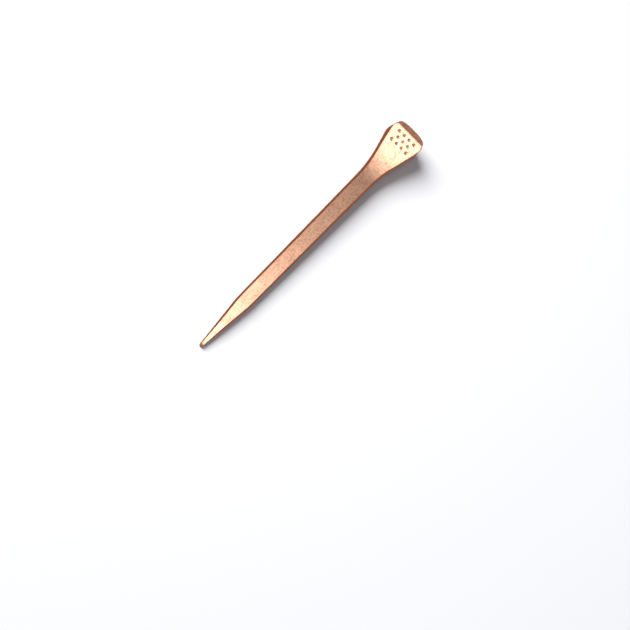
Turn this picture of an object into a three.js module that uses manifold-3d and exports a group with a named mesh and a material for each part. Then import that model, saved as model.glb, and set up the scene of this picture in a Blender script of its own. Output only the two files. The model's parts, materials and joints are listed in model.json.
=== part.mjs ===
// A slim horseshoe nail, forged in one piece from steel and plated with copper.
// Millimetres, +Z up. The nail lies on its plain face with its marked face up, and +X runs from
// the crown to the tip. The origin is at the middle of the box around it, on the surface below.
import * as THREE from "three";
import { mergeVertices } from "three/addons/utils/BufferGeometryUtils.js";
import Module from "manifold-3d";

const wasm = await Module();
wasm.setup();

// ---- Driving dimensions ----
const nailLength = 50;

const headWidth = 6.9; // side to side, where the flare meets the crown
const headThickness = 5.0; // plain face to marked face, where the flare meets the crown
const headLand = 5.2; // straight, evenly tapered stretch next to the crown
const flareLength = 11.8; // from the crown to where the flare has run out into the shank

const shankWidth = 3.0; // at the end of the flare
const shankThickness = 1.55;
const shankWidthAtPoint = 2.5; // where the point begins
const shankThicknessAtPoint = 1.22;
const sideRise = 0.5; // how far each side stands square to the plain face before it leans in
const draftAngle = 19; // degrees that each side leans in above that, on the shank

const pointLength = 9.8;
const tipWidth = 0.56;
const tipThickness = 0.72;
const tipBevelLength = 4.4; // the flat at the end of the marked face
const tipNose = 0.3; // length of the rounded end

const edgeBreak = 0.12; // small flat along each long edge
const crownFlat = 1.6; // flat middle of the crown, side to side
const crownBow = 0.12; // how far the crown falls back before its corners turn
const crownCorner = 1.7; // from the crown to where its rounding has run into each side
const crownPlainCorner = [0.95, 0.6]; // rounding at the plain face: along the nail, and up it
const crownMarkedChamfer = [1.1, 0.85]; // chamfer at the marked face: along the nail, and down it
const cornerCut = 0.45; // how far the marked face's two crown corners are cut in from the sides
const cornerCutEnd = 1.95; // from the crown to where the cut has run out along the marked face
const cornerCutDrop = 2.4; // how far down the corner the cut reaches

const dimpleRadius = 0.26; // punched marks that show which face goes inwards
const dimpleDepth = 0.13;
const dimpleSpacing = 1.05; // between neighbours in a row
const dimpleRowGap = 0.9; // between rows
const dimpleRows = [4, 3, 4];
const dimpleFirstRow = 2.0; // from the crown to the first row

// ---- Smoothness of the curves ----
const flareSteps = 10;
const noseSteps = 3;
const cornerSteps = 6;
const dimpleSides = 14;

// ---- Places along the nail ----
const pointStart = nailLength - pointLength;
const bevelStart = nailLength - tipBevelLength;
const noseStart = nailLength - tipNose;
const clearance = 10; // how far a cutter reaches past the nail

const { mapLinear, degToRad } = THREE.MathUtils;

// How far the flare stands out from the shank on one side, at x from the crown: straight along
// the land, then a parabola that meets the shank smoothly.
function flareRise(x, headSize, shankSize) {
  const curveLength = flareLength - headLand;
  const slope = flareSlope(headSize, shankSize);
  if (x >= flareLength) return 0;
  if (x <= headLand) return slope * (headLand - x + curveLength / 2);
  return (slope * (flareLength - x) ** 2) / (2 * curveLength);
}

// The slope of the land against the nail's axis.
function flareSlope(headSize, shankSize) {
  return (headSize - shankSize) / (flareLength + headLand);
}

// Half the width of the plain face.
function halfWidth(x) {
  if (x > pointStart) {
    return mapLinear(x, pointStart, nailLength, shankWidthAtPoint, tipWidth) / 2;
  }
  const along = Math.max(x, flareLength);
  const width = mapLinear(along, flareLength, pointStart, shankWidth, shankWidthAtPoint);
  return width / 2 + flareRise(x, headWidth, shankWidth);
}

// Distance from the axis plane down to the plain face.
function plainDepth(x) {
  const along = Math.max(x, flareLength);
  const thickness = mapLinear(
    along, flareLength, pointStart, shankThickness, shankThicknessAtPoint,
  );
  return thickness / 2 + flareRise(x, headThickness, shankThickness);
}

// Distance from the axis plane up to the marked face, which is bevelled down near the tip.
function markedHeight(x) {
  if (x <= bevelStart) return plainDepth(x);
  const atTip = tipThickness - plainDepth(nailLength);
  return mapLinear(x, bevelStart, nailLength, plainDepth(bevelStart), atTip);
}

// How much narrower the marked face is on each side: nothing on the land, growing faster and
// faster as the flare runs out.
function sideDraft(x) {
  const height = plainDepth(x) + markedHeight(x);
  const flareLeft = flareRise(x, headWidth, shankWidth) / flareRise(headLand, headWidth, shankWidth);
  const share = 1 - Math.min(flareLeft, 1);
  return share ** 2 * Math.tan(degToRad(draftAngle)) * (height - sideRise);
}

// The ten corners of the section at x, as [y, z], anticlockwise seen from the tip. narrowing
// closes the section in towards its middle at the nose.
function section(x, narrowing = 1) {
  const wide = halfWidth(x) * narrowing;
  const narrow = wide - sideDraft(x) * narrowing;
  const low = -plainDepth(x);
  const high = markedHeight(x);
  const edge = Math.min(edgeBreak, narrow / 3);
  const rightHalf = [
    [wide - edge, low],
    [wide, low + edge],
    [wide, low + sideRise],
    [narrow, high - edge],
    [narrow - edge, high],
  ];
  const leftHalf = rightHalf.map(([y, z]) => [-y, z]).reverse();
  return [...rightHalf, ...leftHalf];
}

// The sections in order from the crown to the tip, each with its place on the nail.
function stations() {
  const places = [{ x: 0 }, { x: headLand }];
  for (let i = 1; i <= flareSteps; i++) {
    places.push({ x: mapLinear(i, 0, flareSteps, headLand, flareLength) });
  }
  places.push({ x: pointStart }, { x: bevelStart }, { x: noseStart });
  const lastAngle = degToRad(65);
  for (let i = 1; i <= noseSteps; i++) {
    const angle = (lastAngle * i) / noseSteps;
    const x = noseStart + (tipNose * Math.sin(angle)) / Math.sin(lastAngle);
    places.push({ x, narrowing: Math.cos(angle) });
  }
  return places;
}

// A closed solid through the sections.
function loft() {
  const places = stations();
  const rings = places.map(({ x, narrowing }) => section(x, narrowing));
  const corners = rings[0].length;
  const positions = rings.flatMap((ring, i) => ring.flatMap(([y, z]) => [places[i].x, y, z]));
  const index = [];
  for (let ring = 0; ring < rings.length - 1; ring++) {
    for (let corner = 0; corner < corners; corner++) {
      const next = (corner + 1) % corners;
      const a = ring * corners + corner;
      const b = ring * corners + next;
      index.push(a, b, b + corners, a, b + corners, a + corners);
    }
  }
  const last = (rings.length - 1) * corners;
  for (let corner = 1; corner < corners - 1; corner++) {
    index.push(0, corner + 1, corner);
    index.push(last, last + corner, last + corner + 1);
  }
  const geometry = new THREE.BufferGeometry();
  geometry.setAttribute("position", new THREE.Float32BufferAttribute(positions, 3));
  geometry.setIndex(index);
  return geometry;
}

// A geometry as a solid that can be cut.
function solid(geometry) {
  const bare = geometry.clone();
  bare.deleteAttribute("normal");
  bare.deleteAttribute("uv");
  const merged = mergeVertices(bare, 1e-5);
  return new wasm.Manifold(
    new wasm.Mesh({
      numProp: 3,
      vertProperties: new Float32Array(merged.attributes.position.array),
      triVerts: new Uint32Array(merged.index.array),
    }),
  );
}

// The solid's surface as a geometry with flat faces.
function surface(made) {
  const mesh = made.getMesh();
  const geometry = new THREE.BufferGeometry();
  geometry.setAttribute("position", new THREE.BufferAttribute(mesh.vertProperties, 3));
  geometry.setIndex(new THREE.BufferAttribute(mesh.triVerts, 1));
  const flat = geometry.toNonIndexed();
  flat.computeVertexNormals();
  return flat;
}

function extruded(shape, depth) {
  const geometry = new THREE.ExtrudeGeometry(shape, {
    depth,
    bevelEnabled: false,
    curveSegments: cornerSteps,
  });
  geometry.translate(0, 0, -depth / 2);
  return geometry;
}

// What the crown leaves standing, seen from above: flat in the middle and rounded off towards
// both sides.
function crownFromAbove() {
  const half = headWidth / 2;
  const bend = half - 0.05;
  const cornerEnd = halfWidth(crownCorner);
  const outside = half + clearance;
  const shape = new THREE.Shape();
  shape.moveTo(0, -crownFlat / 2);
  shape.quadraticCurveTo(crownBow, -bend, crownCorner, -cornerEnd);
  shape.lineTo(crownCorner, -outside);
  shape.lineTo(nailLength + clearance, -outside);
  shape.lineTo(nailLength + clearance, outside);
  shape.lineTo(crownCorner, outside);
  shape.lineTo(crownCorner, cornerEnd);
  shape.quadraticCurveTo(crownBow, bend, 0, crownFlat / 2);
  shape.closePath();
  return extruded(shape, headThickness + clearance);
}

// What the crown leaves standing, seen from the side: a rounding at the plain face and a chamfer
// at the marked face.
function crownFromTheSide() {
  const half = headThickness / 2;
  const [plainAlong, plainUp] = crownPlainCorner;
  const [markedAlong, markedDown] = crownMarkedChamfer;
  const outside = half + clearance;
  const shape = new THREE.Shape();
  shape.moveTo(0, -(half - plainUp));
  shape.quadraticCurveTo(0, -half, plainAlong, -plainDepth(plainAlong));
  shape.lineTo(plainAlong, -outside);
  shape.lineTo(nailLength + clearance, -outside);
  shape.lineTo(nailLength + clearance, outside);
  shape.lineTo(markedAlong, outside);
  shape.lineTo(markedAlong, markedHeight(markedAlong));
  shape.lineTo(0, half - markedDown);
  shape.closePath();
  return extruded(shape, headWidth + clearance).rotateX(Math.PI / 2);
}

// Cuts one crown corner of the marked face with a plane that leans down the corner. side is 1 or
// -1.
function cutCorner(made, side) {
  const [start] = crownMarkedChamfer;
  const onChamfer = new THREE.Vector3(
    start, side * (halfWidth(start) - cornerCut), markedHeight(start),
  );
  const onSide = new THREE.Vector3(
    cornerCutEnd, side * halfWidth(cornerCutEnd), markedHeight(cornerCutEnd),
  );
  const below = new THREE.Vector3(
    start, side * halfWidth(start), markedHeight(start) - cornerCutDrop,
  );
  const plane = new THREE.Plane().setFromCoplanarPoints(onChamfer, onSide, below);
  if (plane.distanceToPoint(new THREE.Vector3(nailLength, 0, 0)) < 0) plane.negate();
  return made.trimByPlane(plane.normal.toArray(), -plane.constant);
}

// One punched mark: a shallow cone, point down, whose mouth lies on the marked face at x, y.
function dimple(x, y) {
  const above = dimpleDepth; // the cone goes on this far above the face, for a clean cut
  const radius = (dimpleRadius * (dimpleDepth + above)) / dimpleDepth;
  const cone = new THREE.ConeGeometry(radius, dimpleDepth + above, dimpleSides);
  cone.rotateX(-Math.PI / 2);
  cone.translate(0, 0, (above - dimpleDepth) / 2);
  cone.rotateY(Math.atan(flareSlope(headThickness, shankThickness)));
  cone.translate(x, y, markedHeight(x));
  return cone;
}

// The rows of marks, each centred on the head.
function dimples() {
  return dimpleRows.flatMap((count, row) =>
    Array.from({ length: count }, (_, i) =>
      dimple(dimpleFirstRow + row * dimpleRowGap, (i - (count - 1) / 2) * dimpleSpacing),
    ),
  );
}

function nailSurface() {
  let made = solid(loft());
  made = made.intersect(solid(crownFromAbove()));
  made = made.intersect(solid(crownFromTheSide()));
  made = cutCorner(made, 1);
  made = cutCorner(made, -1);
  for (const mark of dimples()) made = made.subtract(solid(mark));
  return surface(made);
}

// Lies the nail down on the rim of its head and on its tip.
function layDown(mesh) {
  const rim = crownPlainCorner[0];
  const drop = plainDepth(rim) - plainDepth(nailLength);
  mesh.rotation.y = Math.atan2(drop, nailLength - rim);
  mesh.updateMatrixWorld(true);
  const box = new THREE.Box3().setFromObject(mesh, true);
  const middle = box.getCenter(new THREE.Vector3());
  mesh.position.set(-middle.x, -middle.y, -box.min.z);
}

const copperPlate = new THREE.MeshStandardMaterial({
  color: 0xb5714d,
  roughness: 0.35,
  metalness: 1,
});

const nail = new THREE.Mesh(nailSurface(), copperPlate);
nail.name = "nail";
layDown(nail);

const horseshoeNail = new THREE.Group();
horseshoeNail.add(nail);
horseshoeNail.updateMatrixWorld(true);

export default horseshoeNail;
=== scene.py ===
"""Finishes a copper-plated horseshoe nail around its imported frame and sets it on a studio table."""

import json
import math

import bmesh
import bpy
from bpy.props import (
    FloatProperty,
    FloatVectorProperty,
    IntProperty,
    PointerProperty,
)
from mathutils import Matrix, Vector


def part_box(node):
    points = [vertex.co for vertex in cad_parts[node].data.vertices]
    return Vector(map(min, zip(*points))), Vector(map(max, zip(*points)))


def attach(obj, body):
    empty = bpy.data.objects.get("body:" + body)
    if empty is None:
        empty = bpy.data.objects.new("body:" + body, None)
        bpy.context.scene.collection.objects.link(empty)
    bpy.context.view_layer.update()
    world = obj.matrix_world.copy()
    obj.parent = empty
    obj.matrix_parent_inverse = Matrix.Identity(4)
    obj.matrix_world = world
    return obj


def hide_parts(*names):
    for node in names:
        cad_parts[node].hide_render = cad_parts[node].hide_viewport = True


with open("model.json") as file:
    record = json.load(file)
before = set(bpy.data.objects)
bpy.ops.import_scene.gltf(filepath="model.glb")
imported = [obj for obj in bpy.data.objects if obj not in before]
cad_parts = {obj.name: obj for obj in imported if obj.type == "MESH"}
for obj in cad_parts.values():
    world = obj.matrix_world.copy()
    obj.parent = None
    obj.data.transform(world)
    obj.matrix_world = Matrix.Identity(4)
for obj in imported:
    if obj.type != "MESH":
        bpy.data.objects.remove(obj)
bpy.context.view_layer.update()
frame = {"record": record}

bl_info = {
    "name": "Horseshoe Nail",
    "version": (1, 0, 0),
    "blender": (4, 5, 0),
    "location": "3D View > Sidebar > Nail",
    "description": "Forges a copper-plated horseshoe nail and lights it on a pale table",
    "category": "Object",
}

MM = 0.001
CROWN_MOUNT = next(m for m in frame["record"]["mounts"] if m["name"] == "crown")


# ---------------------------------------------------------------- sizes and colours


def length(name, description, millimetres, **options):
    """A size that a user can change, given here in millimetres."""
    return FloatProperty(
        name=name, description=description, default=millimetres * MM, unit="LENGTH",
        precision=5, **options,
    )


def colour(name, description, default):
    """A linear colour that a user can change."""
    return FloatVectorProperty(
        name=name, description=description, default=default, size=3, min=0.0, max=1.0,
        subtype="COLOR",
    )


class NailSizes(bpy.types.PropertyGroup):
    nail_length: length("Length", "From the crown to the tip", 50.0)
    head_width: length("Head width", "Side to side where the flare meets the crown", 6.9)
    head_thickness: length("Head thickness", "Plain face to marked face at the crown", 5.0)
    head_land: length("Land", "Straight stretch of the flare beside the crown", 5.2)
    flare_length: length("Flare", "From the crown to where the flare has run out", 11.8)
    shank_width: length("Shank width", "At the end of the flare", 3.0)
    shank_thickness: length("Shank thickness", "At the end of the flare", 1.55)
    point_width: length("Width at the point", "Where the point begins", 2.5)
    point_thickness: length("Thickness at the point", "Where the point begins", 1.22)
    point_length: length("Point", "From where the sides turn in to the tip", 9.8)
    tip_width: length("Tip width", "Width of the blunt tip", 0.56)
    tip_thickness: length("Tip thickness", "Thickness of the blunt tip", 0.72)
    tip_bevel: length("Tip bevel", "Flat at the end of the marked face", 4.4)
    tip_nose: length("Nose", "Length of the rounded end", 0.3)
    side_rise: length("Side rise", "How far each side stands square before it leans in", 0.5)
    draft: FloatProperty(
        name="Draft", description="Angle that the sides lean in above that",
        default=math.radians(19), subtype="ANGLE",
    )
    crown_flat: length("Crown flat", "Flat middle of the crown, side to side", 1.6)
    crown_bow: length("Crown bow", "How far the crown falls back before its corners turn", 0.12)
    side_corner: length("Side corner", "Where the crown's rounding has run into the sides", 1.7)
    plain_along: length("Plain corner", "Crown rounding, along the plain face", 0.95)
    plain_up: length("Plain corner height", "Crown rounding, up from the plain face", 0.6)
    corner_cut: length("Corner cut", "How far the marked face's crown corners are drawn in", 0.45)
    corner_end: length("Corner end", "Where the drawn-in corners have run out", 1.95)
    chamfer_along: length("Chamfer length", "Crown chamfer, along the marked face", 1.1)
    chamfer_down: length("Chamfer depth", "Crown chamfer, down the crown", 0.85)


class MarkSizes(bpy.types.PropertyGroup):
    radius: length("Radius", "Mouth of one punched mark", 0.3)
    floor_radius: length("Floor", "Flat bottom of one punched mark", 0.1)
    depth: length("Depth", "Depth of one punched mark", 0.13)
    spacing: length("Spacing", "Between marks in a row", 1.05)
    row_gap: length("Row gap", "Between rows", 0.9)
    first_row: length("First row", "From the crown to the first row", 2.0)
    rows: IntProperty(name="Rows", description="Rows of marks", default=3, min=1)
    longest_row: IntProperty(name="Marks", description="Marks in the first row", default=4)


class CopperLook(bpy.types.PropertyGroup):
    bright: colour("Bright copper", "Freshly plated copper", (0.93, 0.53, 0.35))
    brown: colour("Brown copper", "Handled, slightly oxidised copper", (0.62, 0.29, 0.18))
    # Colour painted into the punched marks as the shade in their hollows.
    painted_mark_shade: colour("Stain", "Dark film left in the marks", (0.35, 0.14, 0.07))
    rim: colour("Rim copper", "Copper seen nearly edge on", (1.0, 0.62, 0.42))
    polish: FloatProperty(
        name="Roughness", description="Roughness of the plated surface", default=0.3,
        min=0.0, max=1.0,
    )


class StudioSetup(bpy.types.PropertyGroup):
    elevation: FloatProperty(
        name="Elevation", description="Camera height above the table",
        default=math.radians(65), subtype="ANGLE",
    )
    heading: FloatProperty(
        name="Heading", description="Camera direction round the nail, from the tip",
        default=math.radians(-7.5), subtype="ANGLE",
    )
    roll: FloatProperty(
        name="Roll", description="Lean of the camera", default=math.radians(52.29),
        subtype="ANGLE",
    )
    distance: length("Distance", "From the camera to the spot it aims at", 454.4)
    lens: FloatProperty(name="Lens", description="Focal length in millimetres", default=170.0)
    aim: FloatVectorProperty(
        name="Aim", description="Spot on the table that the camera looks at", size=3,
        default=(8.42 * MM, 9.11 * MM, 1.5 * MM), subtype="TRANSLATION",
    )
    table: colour("Table", "Colour of the table", (0.62, 0.62, 0.63))
    backdrop: colour("Backdrop", "What is seen beyond the table", (0.96, 0.96, 0.97))
    surround: colour("Surround", "Tint of the room that the copper reflects", (0.97, 0.97, 1.0))
    bounce: colour("Bounce", "The same tint below the horizon, warmed by copper", (1.0, 0.74, 0.64))
    fill: colour("Fill", "Dim light that reaches into the shadow", (0.075, 0.085, 0.12))


# ---------------------------------------------------------------- modelling helpers


def deselect_all():
    if bpy.context.object and bpy.context.object.mode != "OBJECT":
        bpy.ops.object.mode_set(mode="OBJECT")
    bpy.ops.object.select_all(action="DESELECT")


def make_active(piece):
    deselect_all()
    piece.select_set(True)
    bpy.context.view_layer.objects.active = piece


def select_vertices(piece, wanted):
    """Selects, in edit mode, the vertices whose place passes the test. Returns how many."""
    mesh = bmesh.from_edit_mesh(piece.data)
    found = 0
    for vertex in mesh.verts:
        vertex.select_set(wanted(vertex.co))
        found += vertex.select
    mesh.select_flush_mode()
    bmesh.update_edit_mesh(piece.data)
    return found


def apply_modifier(piece, kind, **settings):
    modifier = piece.modifiers.new(kind.title(), kind)
    for name, value in settings.items():
        setattr(modifier, name, value)
    bpy.ops.object.modifier_apply(modifier=modifier.name)


# ---------------------------------------------------------------- the nail's outline


CROWN_BEND_INSET = 0.05 * MM  # how far inside the head's width the crown's rounding turns


class Outline:
    """The nail's sections, along +X from the crown at 0, with the axis at z = 0."""

    def __init__(self, sizes):
        self.s = sizes
        self.point_start = sizes.nail_length - sizes.point_length
        self.bevel_start = sizes.nail_length - sizes.tip_bevel
        self.nose_start = sizes.nail_length - sizes.tip_nose

    def rise(self, x, head, shank):
        """How far the flare stands out from the shank on one side."""
        s = self.s
        curve = s.flare_length - s.head_land
        slope = (head - shank) / (s.flare_length + s.head_land)
        if x >= s.flare_length:
            return 0.0
        if x <= s.head_land:
            return slope * (s.head_land - x + curve / 2)
        return slope * (s.flare_length - x) ** 2 / (2 * curve)

    def between(self, x, at_flare, at_point):
        """A size that changes evenly along the shank."""
        along = max(x, self.s.flare_length) - self.s.flare_length
        part = along / (self.point_start - self.s.flare_length)
        return at_flare + (at_point - at_flare) * part

    def half_width(self, x):
        s = self.s
        if x > self.point_start:
            part = (x - self.point_start) / s.point_length
            return (s.point_width + (s.tip_width - s.point_width) * part) / 2
        return self.between(x, s.shank_width, s.point_width) / 2 + self.rise(
            x, s.head_width, s.shank_width
        )

    def plain_depth(self, x):
        s = self.s
        return self.between(x, s.shank_thickness, s.point_thickness) / 2 + self.rise(
            x, s.head_thickness, s.shank_thickness
        )

    def marked_height(self, x):
        s = self.s
        if x <= self.bevel_start:
            return self.plain_depth(x)
        part = (x - self.bevel_start) / s.tip_bevel
        top = self.plain_depth(self.bevel_start)
        end = s.tip_thickness - self.plain_depth(s.nail_length)
        return top + (end - top) * part

    def draft(self, x):
        """How much narrower the marked face is than the plain face, on each side."""
        s = self.s
        if x < s.corner_end:
            left = (s.corner_end - x) / (s.corner_end - s.chamfer_along)
            return s.corner_cut * (min(x / s.chamfer_along, 1) if left > 1 else left ** 1.5)
        # Nothing on the land, growing faster and faster as the flare runs out.
        left = self.rise(x, s.head_width, s.shank_width)
        full = self.rise(s.head_land, s.head_width, s.shank_width)
        height = self.plain_depth(x) + self.marked_height(x)
        grown = (1 - min(left / full, 1)) ** 2
        return grown * math.tan(s.draft) * (height - s.side_rise)

    def crown_section(self, x):
        """Half width, bottom and top where the crown's corners round the section off."""
        s = self.s
        start, side = s.crown_flat / 2, self.half_width(s.side_corner)
        bend = (s.crown_bow, s.head_width / 2 - CROWN_BEND_INSET)
        half = on_curve(x, (0, start), bend, (s.side_corner, side))
        low = s.head_thickness / 2
        bottom = on_curve(x, (0, low - s.plain_up), (0, low), (
            s.plain_along, self.plain_depth(s.plain_along)))
        top = self.marked_height(x)
        if x < s.chamfer_along:
            start = low - s.chamfer_down
            end = self.marked_height(s.chamfer_along)
            top = start + (end - start) * x / s.chamfer_along
        if x >= s.plain_along:
            bottom = self.plain_depth(x)
        return half, -bottom, top

    def land_slope(self):
        """The slope of the land's marked face against the axis."""
        s = self.s
        return (s.head_thickness - s.shank_thickness) / (s.flare_length + s.head_land)


def on_curve(x, start, bend, end):
    """The height at x of the curve that leaves start for bend and turns to end."""
    if x >= end[0]:
        return end[1]
    square = start[0] - 2 * bend[0] + end[0]
    straight = 2 * (bend[0] - start[0])
    root = math.sqrt(straight ** 2 - 4 * square * (start[0] - x))
    t = (root - straight) / (2 * square)
    return start[1] * (1 - t) ** 2 + 2 * bend[1] * t * (1 - t) + end[1] * t * t


def spread(start, end, steps):
    """Places after start, evenly spaced, the last of them at end."""
    return [start + (end - start) * i / steps for i in range(1, steps + 1)]


CROWN_RINGS = (0.0, 0.06 * MM, 0.25 * MM, 0.55 * MM)
CHAMFER_RINGS = (0.92, 1.08)  # either side of the chamfer's end, as shares of its length
POINT_TURN = 0.4 * MM  # the rings stand this far either side of the turn into the point
BEVEL_TURN = 0.15 * MM
NOSE_BENDS = (math.radians(35), math.radians(62))
NOSE_ROUNDING = 0.25  # how much of the tip's thickness the nose may take off each face


def nail_sections(outline):
    """Each section as (x, half width, bottom, top), from the crown's flat to the end of the nose."""
    s = outline.s
    crown = [*CROWN_RINGS, *(s.chamfer_along * part for part in CHAMFER_RINGS)]
    sections = [(x, *outline.crown_section(x)) for x in crown]
    places = spread(crown[-1], s.side_corner, 1)
    places += spread(s.side_corner, s.head_land, 5)
    places += spread(s.head_land, s.flare_length, 6)
    places += spread(s.flare_length, outline.point_start - POINT_TURN, 5)
    places += [outline.point_start + POINT_TURN]
    places += spread(places[-1], outline.bevel_start - BEVEL_TURN, 2)
    places += [outline.bevel_start + BEVEL_TURN]
    places += spread(places[-1], outline.nose_start, 3)
    for x in places:
        sections.append(
            (x, outline.half_width(x), -outline.plain_depth(x), outline.marked_height(x))
        )
    for bend in NOSE_BENDS:
        x = outline.nose_start + s.tip_nose * math.sin(bend) / math.sin(NOSE_BENDS[-1])
        taken = NOSE_ROUNDING * s.tip_thickness * (1 - math.cos(bend))
        bottom = -outline.plain_depth(x) + taken
        top = outline.marked_height(x) - taken
        sections.append((x, outline.half_width(x) * math.cos(bend), bottom, top))
    return sections


# ---------------------------------------------------------------- forging the nail

COLUMNS = 8
ROWS = 5
EDGE_COLUMN = 0.90  # where the outer columns stand, as a share of the half width
EDGE_ROW = 0.88
BREAK_ROW = 0.32  # where the sides start to lean in, as a share of the height
LEANING_LINES = (0.6, (1 + EDGE_ROW) / 2, 1.0)  # heights of the lines above that
WEAR_STARTS = math.radians(6)  # outward turn between faces at which handling begins to show
WEAR_FULL = math.radians(20)
SAME_PLACE = 2e-6  # metres within which two places count as one


def start_blank(section):
    """A square-cornered grid in the plane of the crown, with its lines drawn in to the corners."""
    x, half, bottom, top = section
    bpy.ops.mesh.primitive_grid_add(
        x_subdivisions=ROWS, y_subdivisions=COLUMNS, size=2, rotation=(0, -math.pi / 2, 0)
    )
    blank = bpy.context.object
    bpy.ops.object.transform_apply(location=True, rotation=True, scale=True)
    bpy.ops.object.mode_set(mode="EDIT")
    # The inner columns, then the outer pair of inner rows, then the row where the sides turn.
    select_vertices(blank, lambda co: abs(co.y) < 0.99)
    inner_column = 1 - 2 / COLUMNS
    bpy.ops.transform.resize(value=(1, EDGE_COLUMN / inner_column, 1), center_override=(0, 0, 0))
    inner_row = 1 - 2 / ROWS
    select_vertices(blank, lambda co: 0.5 < abs(co.z) < 0.99)
    bpy.ops.transform.resize(value=(1, 1, EDGE_ROW / inner_row), center_override=(0, 0, 0))
    break_line = 2 * BREAK_ROW - 1
    select_vertices(blank, lambda co: -0.3 < co.z < -0.1)
    bpy.ops.transform.translate(value=(0, 0, break_line + 1 / ROWS))
    bpy.ops.mesh.select_all(action="SELECT")
    middle = (bottom + top) / 2
    bpy.ops.transform.resize(value=(1, half, (top - bottom) / 2), center_override=(0, 0, 0))
    bpy.ops.transform.translate(value=(x, 0, middle))
    return blank


def draw_out(sections):
    """Extrudes the blank from section to section."""
    bpy.ops.mesh.select_all(action="SELECT")
    for before, after in zip(sections, sections[1:]):
        middle_before = (before[2] + before[3]) / 2
        middle = (after[2] + after[3]) / 2
        bpy.ops.mesh.extrude_region_move(
            TRANSFORM_OT_translate={"value": (after[0] - before[0], 0, middle - middle_before)}
        )
        widen = after[1] / before[1]
        deepen = (after[3] - after[2]) / (before[3] - before[2])
        bpy.ops.transform.resize(
            value=(1, widen, deepen), center_override=(after[0], 0, middle)
        )


def lean_sides_in(blank, outline, sections):
    """Narrows the upper lines of each section, so that the shank's sides lean in."""
    for x, half, bottom, top in sections:
        inset = outline.draft(min(x, outline.s.nail_length))
        if x > outline.nose_start:
            inset *= half / outline.half_width(x)
        if inset < SAME_PLACE:
            continue
        for line in LEANING_LINES:
            height = bottom + (top - bottom) * line
            part = (line - BREAK_ROW) / (1 - BREAK_ROW)
            found = select_vertices(
                blank,
                lambda co: abs(co.x - x) < SAME_PLACE and abs(co.z - height) < SAME_PLACE,
            )
            if not found:
                raise RuntimeError(f"no line at {x}, {height}")
            narrower = (half - inset * part) / half
            bpy.ops.transform.resize(value=(1, narrower, 1), center_override=(x, 0, height))


def punch_marks(blank, outline, marks):
    """Presses rows of small round marks into the marked face of the head."""
    slope = outline.land_slope()
    down = Vector((-slope, 0, -1)).normalized()
    places = []
    for row in range(marks.rows):
        count = marks.longest_row - row % 2
        x = marks.first_row + row * marks.row_gap
        for i in range(count):
            y = (i - (count - 1) / 2) * marks.spacing
            places.append(Vector((x, y, outline.marked_height(x))))
    for place in places:
        found = select_vertices(blank, lambda co: (co - place).length < marks.floor_radius)
        if not found:
            raise RuntimeError("a mark found nothing to press")
        bpy.ops.transform.translate(
            value=down * marks.depth, use_proportional_edit=True,
            proportional_edit_falloff="SMOOTH",
            proportional_size=marks.radius - marks.floor_radius,
        )
    return places


def record_marks(piece, places, marks):
    """Stores how near each point is to the middle of a mark, where the finish paints shade into the
    hollows.
    """
    layer = piece.data.attributes.new("stamped", "FLOAT", "POINT")
    for vertex, value in zip(piece.data.vertices, layer.data):
        nearest = min((vertex.co - place).length for place in places)
        value.value = max(0.0, 1 - nearest / marks.radius)


def record_wear(piece):
    """Stores how sharply the surface turns outwards at each point, where handling brightens it."""
    layer = piece.data.attributes.new("worn", "FLOAT", "POINT")
    mesh = bmesh.new()
    mesh.from_mesh(piece.data)
    for vertex, value in zip(mesh.verts, layer.data):
        turn = max(edge.calc_face_angle_signed(0.0) for edge in vertex.link_edges)
        value.value = min(max((turn - WEAR_STARTS) / (WEAR_FULL - WEAR_STARTS), 0.0), 1.0)
    mesh.free()


def roughen(piece, name, size, strength):
    """Displaces the surface a little, as forging leaves it."""
    texture = bpy.data.textures.new(name, "CLOUDS")
    texture.noise_scale = size
    texture.noise_depth = 2
    apply_modifier(
        piece, "DISPLACE", texture=texture, strength=strength, mid_level=0.5,
        texture_coords="LOCAL",
    )
    bpy.data.textures.remove(texture)


def lay_down(piece):
    """Tilts the nail as the frame holds it, and sets it in the frame's place."""
    axis = Vector(CROWN_MOUNT["axis"])
    pitch = math.atan2(axis.z, -axis.x)
    bpy.ops.object.mode_set(mode="EDIT")
    bpy.ops.mesh.select_all(action="SELECT")
    bpy.ops.transform.rotate(value=-pitch, orient_axis="Y", center_override=(0, 0, 0))
    bpy.ops.object.mode_set(mode="OBJECT")
    low = Vector(min(v.co[i] for v in piece.data.vertices) for i in range(3))
    high = Vector(max(v.co[i] for v in piece.data.vertices) for i in range(3))
    frame_low, frame_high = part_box("nail")
    shift = (frame_low + frame_high) / 2 - (low + high) / 2
    shift.z = frame_low.z - low.z
    bpy.ops.object.mode_set(mode="EDIT")
    bpy.ops.transform.translate(value=shift)
    bpy.ops.object.mode_set(mode="OBJECT")


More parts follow.
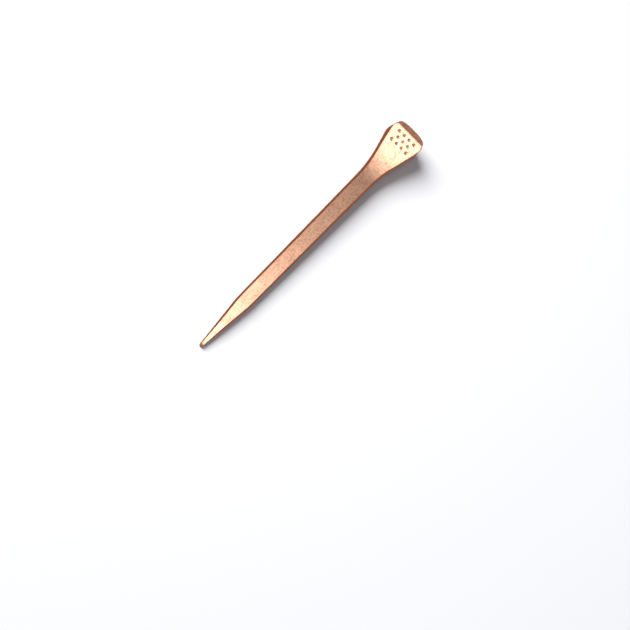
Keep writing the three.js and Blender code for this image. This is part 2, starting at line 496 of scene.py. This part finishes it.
class NAIL_OT_forge(bpy.types.Operator):
    """Forge the nail in one piece, punch its marks and plate it"""

    bl_idname = "nail.forge"
    bl_label = "Forge the nail"

    def execute(self, context):
        scene = context.scene
        outline = Outline(scene.nail_sizes)
        sections = nail_sections(outline)
        deselect_all()
        blank = start_blank(sections[0])
        blank.name = blank.data.name = "forged_nail"
        draw_out(sections)
        lean_sides_in(blank, outline, sections)
        bpy.ops.mesh.select_all(action="SELECT")
        bpy.ops.mesh.normals_make_consistent(inside=False)
        bpy.ops.object.mode_set(mode="OBJECT")
        make_active(blank)
        apply_modifier(blank, "SUBSURF", levels=3, render_levels=3)
        bpy.ops.object.mode_set(mode="EDIT")
        places = punch_marks(blank, outline, scene.nail_marks)
        bpy.ops.object.mode_set(mode="OBJECT")
        record_marks(blank, places, scene.nail_marks)
        record_wear(blank)
        roughen(blank, "Forging", size=2.6 * MM, strength=0.03 * MM)
        roughen(blank, "Scale", size=0.5 * MM, strength=0.006 * MM)
        lay_down(blank)
        bpy.ops.object.shade_smooth()
        blank.data.materials.append(copper_plate(scene.nail_look))
        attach(blank, "root")
        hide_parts("nail")
        return {"FINISHED"}


# ---------------------------------------------------------------- shader expressions


class Shader:
    """A material's node tree. node() makes any node; values in it become sockets."""

    def __init__(self, owner):
        owner.use_nodes = True
        self.tree = owner.node_tree
        self.tree.nodes.clear()

    def node(self, kind, settings=None, **inputs):
        made = self.tree.nodes.new(kind)
        for name, value in (settings or {}).items():
            if name == "stops":
                self.set_stops(made.color_ramp, value)
            else:
                setattr(made, name, value)
        for name, value in inputs.items():
            self.feed(made, name, value)
        return made

    def feed(self, made, name, value):
        key = int(name[1:]) if name[0] == "i" and name[1:].isdigit() else name.replace("_", " ")
        socket = made.inputs[key]
        if isinstance(value, Value):
            self.tree.links.new(value.socket, socket)
        elif isinstance(value, bpy.types.NodeSocket):
            self.tree.links.new(value, socket)
        else:
            socket.default_value = value

    def value(self, made, output=0):
        return Value(self, made.outputs[output])

    @staticmethod
    def set_stops(ramp, stops):
        while len(ramp.elements) < len(stops):
            ramp.elements.new(0.5)
        for element, (position, shade) in zip(ramp.elements, stops):
            element.position = position
            element.color = (shade, shade, shade, 1)


class Value:
    """A number that varies over the surface, with arithmetic."""

    def __init__(self, shader, socket):
        self.shader = shader
        self.socket = socket

    def maths(self, operation, *others, clamp=False):
        settings = {"operation": operation, "use_clamp": clamp}
        inputs = {f"i{i}": v for i, v in enumerate(others)}
        return self.shader.value(self.shader.node("ShaderNodeMath", settings, **inputs))

    def __add__(self, other):
        return self.maths("ADD", self, other)

    __radd__ = __add__

    def __mul__(self, other):
        return self.maths("MULTIPLY", self, other)

    __rmul__ = __mul__

    def __sub__(self, other):
        return self.maths("SUBTRACT", self, other)

    def __rsub__(self, other):
        return self.maths("SUBTRACT", other, self)

    def clamped(self):
        return self.maths("ADD", self, 0.0, clamp=True)

    def stepped(self, low, high):
        """0 below low, 1 above high, and a smooth step between them."""
        made = self.shader.node(
            "ShaderNodeMapRange", {"interpolation_type": "SMOOTHSTEP"},
            Value=self, From_Min=low, From_Max=high,
        )
        return self.shader.value(made)


def noise(shader, place, scale, detail=3.0, roughness=0.55, stretch=(1, 1, 1)):
    """Noise between 0 and 1. scale is in cells to the metre; stretch draws it out along an axis."""
    mapped = shader.node(
        "ShaderNodeMapping", Vector=place,
        Scale=tuple(scale / part for part in stretch),
    )
    made = shader.node(
        "ShaderNodeTexNoise", {"noise_dimensions": "3D"},
        Vector=mapped.outputs["Vector"], Scale=1.0, Detail=detail, Roughness=roughness,
    )
    return shader.value(made, "Fac" if "Fac" in made.outputs else 0)


def stored(shader, name):
    """A value that was stored at each point of the mesh."""
    return shader.value(shader.node("ShaderNodeAttribute", {"attribute_name": name}), "Fac")


def mix_colour(shader, factor, low, high):
    made = shader.node("ShaderNodeMix", {"data_type": "RGBA"}, i0=factor, i6=low, i7=high)
    return made.outputs[2]


def opaque(rgb):
    return (*rgb, 1.0)


def copper_plate(look):
    """Satin copper over forged steel: mottled and grained, with painted shade darkening the marks,
    bright on edges.
    """
    material = bpy.data.materials.new("copper_plate")
    shader = Shader(material)
    place = shader.node("ShaderNodeTexCoord").outputs["Object"]
    cloud = noise(shader, place, 420, detail=4)
    mottle = noise(shader, place, 1700, detail=3, roughness=0.6)
    grain = noise(shader, place, 3300, detail=2, roughness=0.55)
    drawn = noise(shader, place, 6000, detail=1, stretch=(12, 1, 1))
    relief = noise(shader, place, 1300, detail=1, stretch=(1.6, 1, 1))
    stamped = stored(shader, "stamped")
    worn = stored(shader, "worn") * (mottle * 0.8 + 0.4)
    brownness = (cloud * 0.25 + mottle * 0.25 + grain * 0.9).stepped(0.61, 0.97)
    base = mix_colour(
        shader, brownness * (1 - worn * 0.7), opaque(look.bright), opaque(look.brown)
    )
    # Painted shade: the punched marks are darkened towards the mark colour, as shade falls in their
    # hollows; the same mask also roughens them.
    painted_mark_shade = stamped.stepped(0.1, 0.75) * 0.65
    base = mix_colour(shader, painted_mark_shade, base, opaque(look.painted_mark_shade))
    roughness = (mottle - 0.5) * 0.14 + (drawn - 0.5) * 0.08 + look.polish
    roughness = roughness + painted_mark_shade * 0.15 - worn * 0.07
    bump = shader.node("ShaderNodeBump", Strength=0.35, Distance=0.02 * MM, Height=relief)
    surface = shader.node(
        "ShaderNodeBsdfPrincipled", Base_Color=base, Metallic=1.0, Roughness=roughness.clamped(),
        Specular_Tint=opaque(look.rim), Normal=bump.outputs["Normal"],
    )
    shader.node("ShaderNodeOutputMaterial", Surface=surface.outputs["BSDF"])
    return material


# ---------------------------------------------------------------- the studio


TABLE_SIDE = 6.0

# Softboxes in metres and watts: the near one shades the length of the nail, and the key lights
# the table and casts the shadow.
NEAR_SOFTBOX = {
    "place": (-12 * MM, 7 * MM, 150 * MM), "aim": (-12 * MM, 7 * MM, 0),
    "size": (45 * MM, 72 * MM), "power": 0.0425,
}
KEY = {"place": (-0.05, -0.85, 0.86), "aim": (0, 0, 0), "size": (0.85, 0.85), "power": 34.0}


def table_material(look):
    material = bpy.data.materials.new("pale_table")
    shader = Shader(material)
    surface = shader.node(
        "ShaderNodeBsdfPrincipled", Base_Color=opaque(look.table), Roughness=0.9,
    )
    surface.inputs["Specular IOR Level"].default_value = 0.0
    shader.node("ShaderNodeOutputMaterial", Surface=surface.outputs["BSDF"])
    return material


def lay_table(look):
    deselect_all()
    bpy.ops.mesh.primitive_plane_add(size=TABLE_SIDE)
    table = bpy.context.object
    table.name = "table"
    table.data.materials.append(table_material(look))
    table.visible_glossy = False
    return table


def add_soft_light(name, place, aim, size, power):
    """A rectangular soft light of so many watts. The camera never sees the light itself."""
    deselect_all()
    bpy.ops.object.light_add(type="AREA", location=place)
    light = bpy.context.object
    light.name = light.data.name = name
    light.data.shape = "RECTANGLE"
    light.data.size, light.data.size_y = size
    light.data.energy = power
    light.visible_camera = False
    direction = Vector(aim) - Vector(place)
    light.rotation_euler = direction.to_track_quat("-Z", "Y").to_euler()
    return light


def light_table_only(key, table):
    """Keeps the key off the copper, which reflects the softer card in its place."""
    key.visible_glossy = False
    lit_by_key = bpy.data.collections.new("lit_by_key")
    lit_by_key.objects.link(table)
    key.light_linking.receiver_collection = lit_by_key


# Brightness of the room from straight below (0) through the horizon (0.5) to straight above (1).
ROOM_BRIGHTNESS = (
    (0.2, 0.32), (0.31, 0.22), (0.41, 0.42), (0.5, 0.52), (0.6, 0.42), (0.7, 0.38),
    (0.82, 0.29), (0.92, 0.27), (1.0, 0.29),
)

# Soft cards round the room: the way to each, the angles at which it is full and gone, and its level.
CARDS = (
    ((-0.04, -0.70, 0.71), math.radians(10), math.radians(26), 2.6),
    ((0.62, -0.62, 0.48), math.radians(10), math.radians(19), 1.3),
    ((0.0, 0.87, 0.5), math.radians(10), math.radians(20), 1.4),
    ((0.87, 0.25, 0.42), math.radians(9), math.radians(18), 1.3),
    ((-0.76, 0.56, 0.34), math.radians(8), math.radians(17), 1.3),
)


def set_surround(look):
    """A pale backdrop for the camera, a room with cards for the copper, a dim fill for the rest."""
    world = bpy.data.worlds.new("studio")
    bpy.context.scene.world = world
    shader = Shader(world)
    seen = shader.node("ShaderNodeBackground", Color=opaque(look.backdrop), Strength=1.0)
    direction = shader.node("ShaderNodeTexCoord").outputs["Generated"]
    height = shader.value(shader.node("ShaderNodeSeparateXYZ", Vector=direction), "Z")
    room = shader.node("ShaderNodeValToRGB", {"stops": ROOM_BRIGHTNESS}, Fac=height * 0.5 + 0.5)
    brightness = shader.value(room, "Color")
    for centre, inner, outer, level in CARDS:
        towards = shader.node(
            "ShaderNodeVectorMath", {"operation": "DOT_PRODUCT"}, i0=direction, i1=centre
        )
        card = shader.value(towards, "Value").stepped(math.cos(outer), math.cos(inner))
        brightness = brightness + card * level
    tint = mix_colour(
        shader, height.stepped(-0.1, 0.65), opaque(look.bounce), opaque(look.surround)
    )
    lit = shader.node("ShaderNodeBackground", Color=tint, Strength=brightness)
    fill = shader.node("ShaderNodeBackground", Color=opaque(look.fill), Strength=1.0)
    ray = shader.node("ShaderNodeLightPath")
    by_gloss = shader.node(
        "ShaderNodeMixShader", Fac=ray.outputs["Is Glossy Ray"], i1=fill.outputs[0],
        i2=lit.outputs[0],
    )
    mixed = shader.node(
        "ShaderNodeMixShader", Fac=ray.outputs["Is Camera Ray"], i1=by_gloss.outputs[0],
        i2=seen.outputs[0],
    )
    shader.node("ShaderNodeOutputWorld", Surface=mixed.outputs[0])


def place_camera(look):
    """A long lens, well above the table, looking up the nail from its tip, leaning to one side."""
    flat = Vector((math.cos(look.heading), math.sin(look.heading), 0))
    back = flat * math.cos(look.elevation) + Vector((0, 0, math.sin(look.elevation)))
    data = bpy.data.cameras.new("camera")
    camera = bpy.data.objects.new("camera", data)
    bpy.context.scene.collection.objects.link(camera)
    data.lens = look.lens
    data.clip_start, data.clip_end = 0.01, 50.0
    camera.location = Vector(look.aim) + back * look.distance
    turned = back.to_track_quat("Z", "Y").to_matrix()
    lean = turned.to_4x4() @ Matrix.Rotation(look.roll, 4, "Z")
    camera.rotation_euler = lean.to_euler()
    bpy.context.scene.camera = camera


class NAIL_OT_studio(bpy.types.Operator):
    """Set up the pale table, the soft lights and the camera"""

    bl_idname = "nail.studio"
    bl_label = "Set up the studio"

    def execute(self, context):
        scene = context.scene
        look = scene.nail_studio
        scene.view_settings.view_transform = "Standard"
        scene.view_settings.look = "None"
        table = lay_table(look)
        set_surround(look)
        add_soft_light("near_softbox", **NEAR_SOFTBOX)
        light_table_only(add_soft_light("key", **KEY), table)
        place_camera(look)
        return {"FINISHED"}


class NAIL_PT_panel(bpy.types.Panel):
    """Sizes, finish and studio of the nail"""

    bl_idname = "NAIL_PT_panel"
    bl_label = "Horseshoe nail"
    bl_space_type = "VIEW_3D"
    bl_region_type = "UI"
    bl_category = "Nail"

    def draw(self, context):
        scene = context.scene
        for group in (scene.nail_sizes, scene.nail_marks, scene.nail_look, scene.nail_studio):
            box = self.layout.box()
            for name in group.bl_rna.properties.keys():
                if name not in ("rna_type", "name"):
                    box.prop(group, name)
        for operator in (NAIL_OT_forge, NAIL_OT_studio):
            self.layout.operator(operator.bl_idname)


GROUPS = {
    "nail_sizes": NailSizes,
    "nail_marks": MarkSizes,
    "nail_look": CopperLook,
    "nail_studio": StudioSetup,
}
CLASSES = (*GROUPS.values(), NAIL_OT_forge, NAIL_OT_studio, NAIL_PT_panel)


def register():
    for each in CLASSES:
        bpy.utils.register_class(each)
    for name, group in GROUPS.items():
        setattr(bpy.types.Scene, name, PointerProperty(type=group))


def unregister():
    for name in GROUPS:
        delattr(bpy.types.Scene, name)
    for each in reversed(CLASSES):
        bpy.utils.unregister_class(each)


def main():
    register()
    bpy.ops.nail.forge()
    bpy.ops.nail.studio()


if __name__ == "__main__":
    main()
